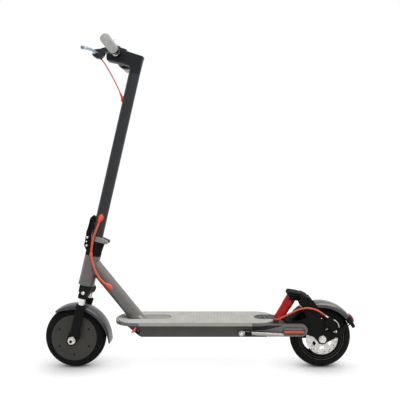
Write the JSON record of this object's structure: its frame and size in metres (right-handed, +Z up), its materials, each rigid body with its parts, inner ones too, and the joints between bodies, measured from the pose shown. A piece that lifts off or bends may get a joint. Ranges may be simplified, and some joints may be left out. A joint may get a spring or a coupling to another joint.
{
  "type": "electric kick scooter",
  "caption": "Folding electric kick scooter with a hub motor in front, a sprung fork, a sprung rear swingarm, a flat deck with a side stand, and a rear disc brake.",
  "frame": {"origin": "bottom centre of the scooter's box, on the ground in its middle plane", "axes": "+Z up, forward along -X, the rider's left along -Y"},
  "size_m": [1.1042, 0.43, 1.1575],
  "materials": {
    "frame_paint": "satin grey paint",
    "deck_trim": "light grey satin edge",
    "tub_paint": "dark grey satin paint",
    "mat_rubber": "fine ribbed rubber, light grey",
    "black_alloy": "satin black coating",
    "stem_black": "satin dark grey coating",
    "black_plastic": "fine textured plastic",
    "window_plastic": "glossy dark window",
    "bright_steel": "brushed",
    "bright_chrome": "polished",
    "alloy": "bead blasted",
    "motor_paint": "satin dark grey paint",
    "tyre_rubber": "matte rubber with a fine tread",
    "guard_plastic": "semi-gloss grey",
    "grip_rubber": "soft matte, light grey",
    "orange_rubber": "smooth, orange red",
    "shock_red": "glossy red",
    "red_lens": "clear red lens",
    "lamp_lens": "clear lens",
    "battery_wrap": "shrink wrap"
  },
  "bodies": {
    "frame": {"frame_neck": "frame_paint", "deck_plate": "deck_trim", "deck_mat": "mat_rubber", "deck_tub": "tub_paint", "base_plate": "black_alloy", "battery_pack": "battery_wrap", "motor_controller": "alloy", "headset_bearings": "bright_steel", "rear_frame": "frame_paint", "shock_mount": "black_alloy", "kickstand_bracket": "alloy"},
    "steering": {"fork_crown": "black_alloy", "stanchion_left": "bright_chrome", "stanchion_right": "bright_chrome", "fold_base": "black_alloy", "fold_pin": "bright_steel", "steering_cable": "orange_rubber"},
    "stem": {"stem_tube": "stem_black", "stem_foot": "alloy", "stem_head": "stem_black", "display_window": "window_plastic", "headlight": "lamp_lens", "handlebar": "black_alloy", "grip_left": "grip_rubber", "grip_right": "grip_rubber", "brake_bracket": "black_plastic", "bell": "bright_chrome", "throttle_housing": "black_plastic", "brake_cable": "orange_rubber", "fold_cable": "orange_rubber"},
    "fold_lever": {"fold_lever": "black_alloy"},
    "brake_lever": {"brake_lever": "alloy"},
    "throttle_lever": {"throttle_lever": "black_plastic"},
    "bell_striker": {"bell_striker": "black_plastic"},
    "power_button": {"power_button": "alloy"},
    "fork_lowers": {"fork_leg_left": "black_alloy", "fork_leg_right": "black_alloy", "front_mudguard": "guard_plastic", "front_axle": "bright_steel", "motor_stator": "bright_steel"},
    "front_wheel": {"front_tyre": "tyre_rubber", "hub_shell": "motor_paint", "hub_cover": "motor_paint", "front_bearing_left": "bright_steel", "front_bearing_right": "bright_steel"},
    "swingarm": {"swingarm": "black_alloy", "rear_mudguard": "guard_plastic", "tail_light": "red_lens", "rear_axle": "bright_steel", "brake_caliper": "black_alloy", "rear_brake_cable": "orange_rubber"},
    "rear_wheel": {"rear_tyre": "tyre_rubber", "rear_rim": "black_alloy", "brake_disc": "bright_steel", "rear_bearings": "bright_steel"},
    "caliper_arm": {"caliper_arm": "bright_steel"},
    "shock_body": {"shock_body": "shock_red"},
    "shock_rod": {"shock_rod": "shock_red"},
    "kickstand": {"kickstand_leg": "alloy"},
    "charge_cap": {"charge_cap": "orange_rubber"}
  },
  "joints": [
    {"name": "steering", "type": "hinge", "parent": "frame", "child": "steering", "pos_m": [-0.44981, 0, 0.108], "axis": [0.2224, 0, 0.975], "range_deg": [-40, 40], "deforming": ["steering_cable"]},
    {"name": "stem_fold", "type": "hinge", "parent": "steering", "child": "stem", "pos_m": [-0.33425, 0, 0.44371], "axis": [0, 1, 0], "range_deg": [0, 90], "deforming": ["fold_cable"]},
    {"name": "fold_latch", "type": "hinge", "parent": "steering", "child": "fold_lever", "pos_m": [-0.40097, 0, 0.46149], "axis": [0, -1, 0], "range_deg": [0, 100]},
    {"name": "fork_travel", "type": "slide", "parent": "steering", "child": "fork_lowers", "axis": [0.2224, 0, 0.975], "range_m": [0, 0.022], "stiffness_N_per_m": 9000, "springref_m": -0.02},
    {"name": "front_spin", "type": "hinge", "parent": "fork_lowers", "child": "front_wheel", "pos_m": [-0.44411, 0, 0.108], "axis": [0, 1, 0], "continuous": true},
    {"name": "swingarm", "type": "hinge", "parent": "frame", "child": "swingarm", "pos_m": [0.3579, 0, 0.144], "axis": [0, -1, 0], "range_deg": [0, 8], "stiffness_Nm_per_rad": 450, "springref_deg": -3.44, "deforming": ["rear_brake_cable"]},
    {"name": "rear_spin", "type": "hinge", "parent": "swingarm", "child": "rear_wheel", "pos_m": [0.4299, 0, 0.108], "axis": [0, 1, 0], "continuous": true},
    {"name": "shock_lean", "type": "hinge", "parent": "frame", "child": "shock_body", "pos_m": [0.27189, 0, 0.154], "axis": [0, -1, 0], "range_deg": [0, 5.6]},
    {"name": "shock_stroke", "type": "slide", "parent": "shock_body", "child": "shock_rod", "axis": [0.5226, 0, 0.8526], "range_m": [-0.0115, 0]},
    {"name": "brake_lever", "type": "hinge", "parent": "stem", "child": "brake_lever", "pos_m": [-0.34913, -0.079, 1.10098], "axis": [0, 0, 1], "range_deg": [0, 20], "stiffness_Nm_per_rad": 1.5, "springref_deg": -11.46},
    {"name": "caliper_arm", "type": "hinge", "parent": "swingarm", "child": "caliper_arm", "pos_m": [0.45589, -0.055, 0.156], "axis": [0, -1, 0], "range_deg": [0, 13]},
    {"name": "throttle", "type": "hinge", "parent": "stem", "child": "throttle_lever", "pos_m": [-0.29413, 0.09, 1.11298], "axis": [0, 1, 0], "range_deg": [0, 25], "stiffness_Nm_per_rad": 0.3, "springref_deg": -11.46},
    {"name": "bell_striker", "type": "hinge", "parent": "stem", "child": "bell_striker", "pos_m": [-0.29413, -0.0355, 1.12948], "axis": [0, 0, -1], "range_deg": [0, 20], "stiffness_Nm_per_rad": 0.02, "springref_deg": -11.46},
    {"name": "power_button", "type": "slide", "parent": "stem", "child": "power_button", "axis": [-0.3072, 0, -0.9516], "range_m": [0, 0.0012], "stiffness_N_per_m": 400, "springref_m": -0.002},
    {"name": "kickstand", "type": "hinge", "parent": "frame", "child": "kickstand", "pos_m": [0.14389, -0.074, 0.137], "axis": [0, 1, 0], "range_deg": [0, 62]},
    {"name": "charge_cap", "type": "hinge", "parent": "frame", "child": "charge_cap", "pos_m": [-0.2244, -0.0645, 0.1486], "axis": [0.6, 0, 0.8], "range_deg": [0, 88]}
  ],
  "couplings": [
    {"joint": "shock_lean", "follows": "swingarm", "ratio": 0.667},
    {"joint": "shock_stroke", "follows": "swingarm", "m_per_rad": -0.0786},
    {"joint": "caliper_arm", "follows": "brake_lever", "ratio": 0.6}
  ]
}
